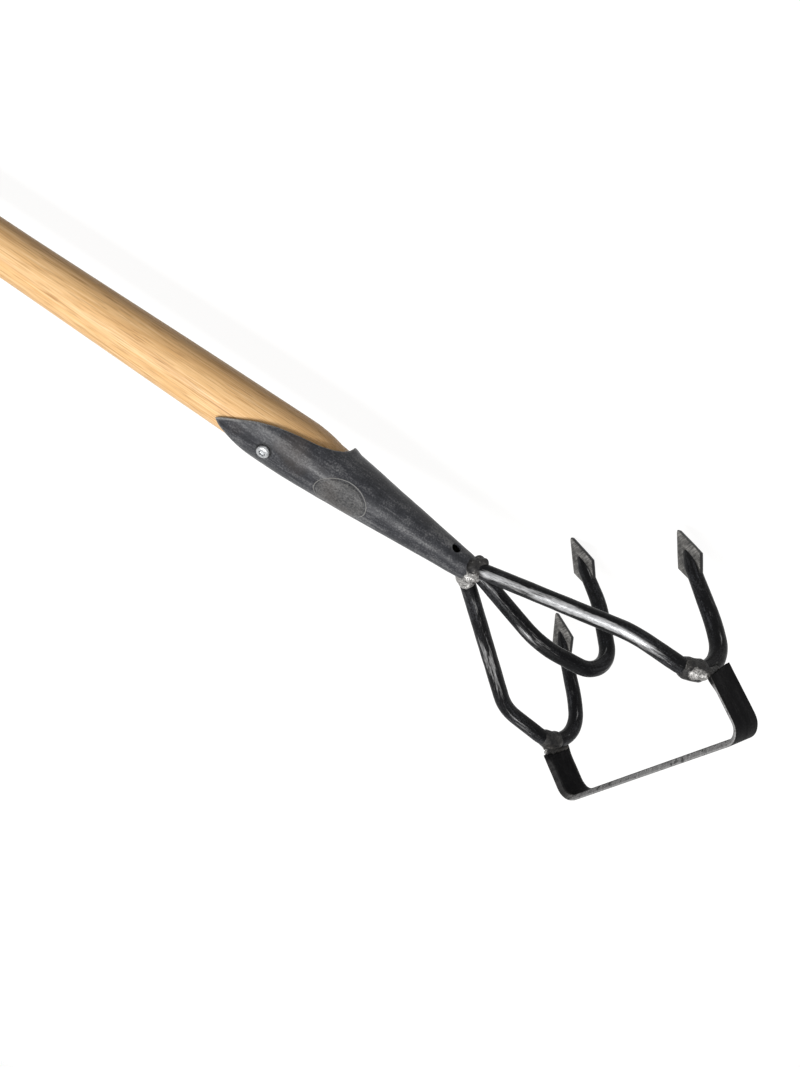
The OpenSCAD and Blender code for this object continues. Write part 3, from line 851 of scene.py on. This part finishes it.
def point_mesh(name, line, seed):
    """A diamond plate with eased edges and a hand-ground face."""
    at_tip = tip_axes(line) @ Matrix.Translation((0, 0, POINT_LIFT))
    middle_y = -POINT_WIDE + 2
    rod_half = 4.2
    # How far out each ring lies, and its depth below the inner face
    levels = [(0.15, -POINT_T), (0.55, -POINT_T), (0.9, -POINT_T + 0.04), (0.975, -POINT_T + 0.16),
              (0.995, -POINT_T + 0.5), (1.0, -1.6), (0.995, -0.5), (0.975, -0.16), (0.93, -0.03),
              (0.85, 0), (0.75, 0), (0.65, 0), (0.55, 0), (0.45, 0), (0.35, 0), (0.25, 0), (0.15, 0)]
    rings = []
    edge = []
    soot = []
    flow = []
    for out, depth in levels:
        ring = []
        for x, y in diamond_outline():
            px, py = x * out, middle_y + (y - middle_y) * out
            dent = 0.07 * rough((px, py, 0), 5, seed) if depth > -1 and out < 0.95 else 0
            ring.append(at_tip @ Vector((px, py, depth + min(dent, 0.03) - 0.03)))
            # The plate's side counts as edge in full, and the eased rims in part
            edge.append(1.0 if -2.8 < depth < -0.3 else (0.35 if depth < -0.1 else 0.0))
            beside_rod = abs(px) - rod_half * fade_in(-py, ROD_STOP - 1, ROD_STOP + ROD_CONE)
            soot.append(fade_out(beside_rod, 0.2, 1.8) * fade_in(-py, ROD_STOP - 4, ROD_STOP + 1))
            flow.append(Vector((px, py, depth)) * MM)
        rings.append(ring)
    flow += [Vector((0, 0, 0)), Vector((0, -POINT_WIDE, 0)) * MM]
    mesh = tube_mesh(name, rings)
    paint(mesh, "edge", edge)
    paint(mesh, "soot", soot + [0.0, 1.0])
    paint_flow(mesh, flow)
    return mesh


# Stirrup

def leg_top(across):
    """End of a leg, that far across the strap from its rear edge."""
    return -LEG_LEN - LEG_EXTRA * across / STRAP_W


def leg_shift(x, across):
    """Shift across the strap: the right leg is wider than the sole at its rear and its front, and
    the left leg is narrower at its front."""
    right = fade_in(-x, BEND_X, HALF_W - 2) * (2.3 * across / STRAP_W - 1.5)
    left = fade_in(x, BEND_X, HALF_W - 2) * 0.7 * across / STRAP_W
    return right - left


def sole_rise(x):
    """How far the slanted sole lies beyond its middle."""
    return min(max(x / BEND_X, -1), 1) * SOLE_RISE


def strap_section(bevel):
    """Cross-section of the strap: depth from the outer face and place across, with ground edges."""
    ease = 0.3
    land = STRAP_T - (STRAP_T - BEVEL_LAND) * bevel - ease * (1 - bevel)
    cut_in = BEVEL_W * bevel + ease * (1 - bevel)
    half = [(0, STRAP_W * 0.35), (0, STRAP_W * 0.2), (0, STRAP_W * 0.1), (0, ease * 1.5),
            (0.08, 0.12), (ease, 0), (land * 0.6, 0), (land, 0),
            (land + (STRAP_T - land) * 0.5, cut_in * 0.5), (STRAP_T, cut_in),
            (STRAP_T, STRAP_W * 0.2), (STRAP_T, STRAP_W * 0.35)]
    return [(depth, STRAP_W - across) for depth, across in half] + half[::-1]


# Places in a section: on the ground edges, along the rims, and at the outer corners
GROUND_PLACES = (*range(5, 10), *range(14, 19))
RIM_PLACES = (*range(4, 9), *range(15, 20))
CORNER_PLACES = (4, 19)


def strap_path():
    """Along the U, from the right leg's top: sideways place, place out along the legs, the outward
    direction there, how far up a leg it is (0 to 1) and how much its edges are ground."""
    leg_steps = 14
    corner_steps = 15
    sole_steps = 60
    side = []
    for k in range(leg_steps + 1):
        up = 1 - k / leg_steps
        side.append((-HALF_W, -CORNER_R, (-1, 0), up, 1 - 0.85 * fade_in(up, 0.6, 0.95)))
    for k in range(1, corner_steps):
        a = math.radians(90 * k / corner_steps)
        out = (-math.cos(a), math.sin(a))
        side.append((-BEND_X + CORNER_R * out[0], -CORNER_R * (1 - out[1]), out, 0, 1.0))
    sole = [(BEND_X * (2 * k / sole_steps - 1), 0, (0, 1), 0, 1.0) for k in range(sole_steps + 1)]
    far_side = [(-x, y, (-out[0], out[1]), up, ground) for x, y, out, up, ground in side[::-1]]
    return side + sole + far_side


def strap_mesh():
    """The bent strap with ground edges, its legs cut on the slant."""
    rings = []
    ground = []
    edge = []
    flow = []
    travelled = 0.0
    for x, y, out, up, bevel in strap_path():
        # Ground edges are bright metal, with painted shade that darkens them on the right leg
        ground_shine_and_shade = fade_in(bevel, 0.2, 0.75) * (1 - 0.9 * fade_in(-x, BEND_X, HALF_W))
        section = strap_section(bevel)
        ring = []
        for index, (depth, across) in enumerate(section):
            px, py = x - out[0] * depth, y - out[1] * depth + sole_rise(x)
            py += (leg_top(across) - py) * up
            p = Vector((px, py, across + leg_shift(x, across)))
            if index in RIM_PLACES:
                p.z += 0.08 * rough(p, 4, 3) * (1 if across < STRAP_W / 2 else -1)
            ring.append(ON_STIRRUP @ p)
            ground.append(ground_shine_and_shade if index in GROUND_PLACES else 0.0)
            edge.append(0.25 if index in CORNER_PLACES else 0.0)
        middle = Vector((x, y - (LEG_LEN - CORNER_R) * up, 0))
        if rings:
            travelled += (middle - before).length
        before = middle
        flow += [Vector((travelled, across, depth)) * MM for depth, across in section]
        rings.append(ring)
    flow += [Vector((0, 0, 0)), Vector((travelled, 0, 0)) * MM]
    mesh = tube_mesh("stirrup_blade", rings)
    paint(mesh, "ground", ground)
    paint(mesh, "edge", edge)
    paint_flow(mesh, flow)
    return mesh


# Welds

def ball_mesh(centre, radius):
    rows = 10
    tilts = [math.pi * (k + 0.5) / rows for k in range(rows)]
    at = Matrix.Translation(centre)
    return tube_mesh("ball", [circle(at, radius * math.sin(t), -radius * math.cos(t), 16) for t in tilts])


def lump_mesh(name, balls, silver, seed):
    """Weld metal: many drops run together, with an uneven skin. It is bright near the places in
    silver, each given with its reach."""
    points = []
    faces = []
    for centre, radius in balls:
        base = len(points)
        ball = ball_mesh(centre, radius)
        points += [tuple(v.co) for v in ball.vertices]
        faces += [tuple(base + i for i in f.vertices) for f in ball.polygons]
        bpy.data.meshes.remove(ball)
    mesh = bpy.data.meshes.new(name)
    mesh.from_pydata(points, [], faces)
    obj = placed("lump", mesh)
    remesh = obj.modifiers.new("run_together", "REMESH")
    remesh.mode = "VOXEL"
    remesh.voxel_size = LUMP_GRID * MM
    soften = obj.modifiers.new("soften", "SMOOTH")
    soften.factor = 0.7
    soften.iterations = 6
    result = result_mesh(obj)
    normals = [v.normal.copy() for v in result.vertices]
    bright = []
    for vertex, normal in zip(result.vertices, normals):
        p = vertex.co / MM
        lift = 0.4 * rough(p, 4.5, seed) + 0.14 * rough(p, 1.7, seed + 3)
        vertex.co += normal * lift * MM
        p = vertex.co / MM
        bright.append(max(fade_out((p - Vector(place)).length, 0.5 * reach, 1.3 * reach)
                          for place, reach in silver))
    result.update()
    paint(result, "bright", bright)
    return result


def beads_along(points, radius, seed):
    """Drops along a line of places, a little uneven: their centres and radii."""
    balls = []
    for a, b in zip(points, points[1:]):
        a, b = Vector(a), Vector(b)
        count = max(1, round((b - a).length / DROP_STEP))
        for k in range(count):
            p = a + (b - a) * k / count
            wobble = Vector((rough(p, 2, seed), rough(p, 2, seed + 7), rough(p, 2, seed + 13))) * 0.5
            balls.append((p + wobble, radius * (1 + 0.3 * rough(p, 3, seed + 21))))
    return balls


def beads_round(place, way, reach, radius, seed):
    """Drops all round a rod, at that reach from its axis."""
    across, up = square_to(way)
    points = []
    for k in range(9):
        a = math.radians(360 * k / 8)
        points.append(place + (across * math.cos(a) + up * math.sin(a)) * reach)
    return beads_along(points, radius, seed)


def nose_weld_mesh():
    """A lumpy collar round the rods' roots, with beads run over it and along the socket's rim."""
    balls = []
    for n, line in enumerate((LEFT_LINE, RIGHT_LINE, CENTRE_LINE)):
        root = Vector(line[0])
        way = (Vector(line[1]) - root).normalized()
        balls += [(root + way * 2.6, ROD_R + 1.3), (root + way * 5.2, ROD_R + 0.7)]
        balls += beads_round(root + way * 6.6, way, 4.2, 1.5, 6.0 + n)
    rim = [TURNED @ ALONG_SOCKET @ Vector((7.0 * math.cos(a), 7.0 * math.sin(a), -0.6))
           for a in (2 * math.pi * k / 16 for k in range(17))]
    balls += beads_along(rim, 1.8, 11.0)
    # Single lumps between the roots, as their places and radii, and then the bright places
    balls += [((3.8, 12.2, 5.4), 3.4), ((1.8, 9.4, 3.4), 3.6), ((2.6, 1.2, 12.0), 3.4),
              ((5.6, 3.4, 11.4), 2.6), ((1.6, -6.2, 9.6), 3.0), ((4.6, -4.4, 10.4), 2.4)]
    silver = [((3.0, 2.0, 14.0), 8.0), ((6.5, 6.5, 12.0), 5.0), ((2.0, -5.0, 12.0), 8.0)]
    return lump_mesh("nose_weld", balls, silver, 1.0)


def stirrup_weld_mesh(name, side, seed):
    """Weld between a tine's bend and a leg: a collar on the arm at the leg's rear corner, a bead in
    the corner under the bend, and one over the rear part of the leg's slanted top."""
    inner_y = HALF_W - STRAP_T
    rear = ON_STIRRUP @ Vector((0, leg_top(0), 0))
    front = ON_STIRRUP @ Vector((0, leg_top(STRAP_W), STRAP_W))
    size = 1.0 if side > 0 else 0.6
    # Slope of the rod, in degrees, where the bead under the bend starts and ends
    bead_start, bead_end = 27, 64
    top = [(p.x - 0.8, side * (inner_y + 0.6), p.z - 0.9)
           for p in (rear.lerp(front, k / 7) for k in range(5))]
    balls = beads_along(top, 1.8, seed)
    line = LEFT_LINE if side > 0 else RIGHT_LINE
    corner = []
    for place, way in bend_path(line, OUTER_BENDS):
        if bead_start < math.degrees(math.atan2(-way.z, way.x)) < bead_end:
            out = way.cross(Vector((0, 1, 0))).normalized() * (ROD_R + 0.3)
            corner.append((place.x + out.x, side * (inner_y - 1.2), place.z + out.z))
        if rear.x - 8 < place.x < rear.x - 1 and place.z > 25:
            balls.append((place, ROD_R + 1.5 * size))
    balls += beads_along(corner, 1.9, seed + 1)
    balls += [((rear.x - 1.6, side * (inner_y - 2.0), rear.z - 2.6), 3.6 * size),
              ((rear.x - 4.5, side * (inner_y - 3.2), rear.z - 1.4), 3.4 * size),
              ((rear.x + 0.6, side * (inner_y - 1.2), rear.z - 4.8), 2.8),
              ((rear.x + 3.2, side * (inner_y - 0.8), rear.z - 6.5), 2.4)]
    silver = [((rear.x - 4, side * (inner_y - 1.5), rear.z + 1.5), 6.0 * size)]
    return lump_mesh(name, balls, silver, seed)


# Pieces

piece("ash_handle", handle_mesh(), ash_wood(), "ash_wood", "handle")
piece("forged_socket", socket_mesh(), socket_steel(), "forged_socket", "socket")
piece("pan_head_screw", screw_mesh(), zinc(), "zinc_screw", "socket_screw")

rod_skin = rod_steel()
point_skin = ground_steel()
# Each rod's band of bare metal is placed where the strip light's highlight falls: a painted highlight
TINES = {"left": (LEFT_LINE, OUTER_BENDS, 1.0, Band(60, 25, 1.05, 108)),
         "right": (RIGHT_LINE, OUTER_BENDS, 2.0, Band(63, 30, 0.42, 92)),
         "centre": (CENTRE_LINE, CENTRE_BENDS, 3.0, Band(60, 22, 0.6, 62))}
for where, (line, bends, seed, band) in TINES.items():
    rod = tine_mesh(where + "_rod", line, bends, seed, band)
    piece(where + "_rod", rod, rod_skin, "black_rod", where + "_tine")
    diamond = point_mesh(where + "_diamond", line, seed)
    piece(where + "_diamond", diamond, point_skin, "ground_point", where + "_point")

piece("stirrup_strap", strap_mesh(), strap_steel(), "strap_steel", "stirrup_blade")

weld_skin = weld_metal()
piece("nose_beads", nose_weld_mesh(), weld_skin, "weld_metal", "nose_weld", sharp=80)
for where, side, seed in (("left", 1, 4.0), ("right", -1, 5.0)):
    name = where + "_stirrup_beads"
    beads = stirrup_weld_mesh(name, side, seed)
    piece(name, beads, weld_skin, "weld_metal", where + "_stirrup_weld", sharp=80)


# Floor, light and camera

FLOOR_HALF = 12
FLOOR_GREY = 0.13
FLOOR_GLOW = 0.91
# Light from all sides. The camera and reflections find plain white there instead.
FILL = 0.42
FILL_COLOUR = (1, 0.90, 0.79)
# The strip light, in metres: its place, the place that it faces, and its sides
KEY_PLACE = Vector((0.22, 0.36, 1.42))
KEY_TARGET = Vector((0.22, 0, 0.08))
KEY_LONG = 1.7
KEY_WIDE = 0.35
KEY_WATTS = 26
# The camera's place and directions, in the tool's own axes, as they were fitted to the photo
CAMERA_PLACE = Vector((-119.7, 412.3, 337.9))
CAMERA_RIGHT = Vector((0.8243, 0.4337, -0.3640)).normalized()
CAMERA_VIEW = Vector((0.1376, -0.7770, -0.6143))
FOCAL_PX = 900
PHOTO_LONG_PX = 1067
SENSOR_MM = 36


def floor_skin():
    """A pale floor that keeps the shadow and looks white to the camera and in reflections."""
    s = Shader("pale_floor", Roughness=0.9, Base_Color=(FLOOR_GREY,) * 3 + (1,))
    strength = s.times(s.white_rays(), FLOOR_GLOW)
    glow = s.add("ShaderNodeEmission", Color=(*WHITE, 1), Strength=strength)
    both = s.add("ShaderNodeAddShader")
    s.feed(both.inputs[0], s.bsdf.outputs[0])
    s.feed(both.inputs[1], glow.outputs[0])
    s.feed(s.tree.nodes["Material Output"].inputs["Surface"], both.outputs[0])
    return s.material


def floor_mesh():
    """A square that reaches far beyond the picture, in metres."""
    mesh = bpy.data.meshes.new("floor")
    corners = ((-1, -1), (1, -1), (1, 1), (-1, 1))
    mesh.from_pydata([(x * FLOOR_HALF, y * FLOOR_HALF, 0) for x, y in corners], [], [(0, 1, 2, 3)])
    mesh.materials.append(floor_skin())
    return mesh


def key_light():
    """A strip light whose long side runs along the handle."""
    lamp = bpy.data.lights.new("key", "AREA")
    lamp.shape = "RECTANGLE"
    lamp.size = KEY_LONG
    lamp.size_y = KEY_WIDE
    lamp.energy = KEY_WATTS
    obj = placed("key", lamp)
    obj.location = KEY_PLACE
    obj.rotation_mode = "QUATERNION"
    obj.rotation_quaternion = (KEY_TARGET - KEY_PLACE).to_track_quat("-Z", "Y")


def studio_world():
    """A warm fill light in a white studio."""
    world = bpy.data.worlds.new("studio")
    world.use_nodes = True
    s = Nodes(world.node_tree)
    white = s.white_rays()
    strength = s.add("ShaderNodeMapRange", Value=white, To_Min=FILL, To_Max=1.0).outputs["Result"]
    background = s.tree.nodes["Background"]
    s.feed(background.inputs["Color"], s.mix(white, FILL_COLOUR, WHITE))
    s.feed(background.inputs["Strength"], strength)
    return world


def photo_camera():
    """The camera, where the photo was taken from."""
    data = bpy.data.cameras.new("camera")
    data.sensor_width = SENSOR_MM
    data.lens = FOCAL_PX / PHOTO_LONG_PX * SENSOR_MM
    data.clip_start = 0.01
    view = (CAMERA_VIEW - CAMERA_VIEW.dot(CAMERA_RIGHT) * CAMERA_RIGHT).normalized()
    obj = placed("camera", data)
    obj.matrix_world = LAY @ on_axes(CAMERA_PLACE * MM, CAMERA_RIGHT, CAMERA_RIGHT.cross(view), -view)
    return obj


floor = placed("floor", floor_mesh())
key_light()
bpy.context.scene.world = studio_world()
camera = photo_camera()
bpy.context.scene.camera = camera
bpy.context.scene.view_settings.view_transform = "Standard"
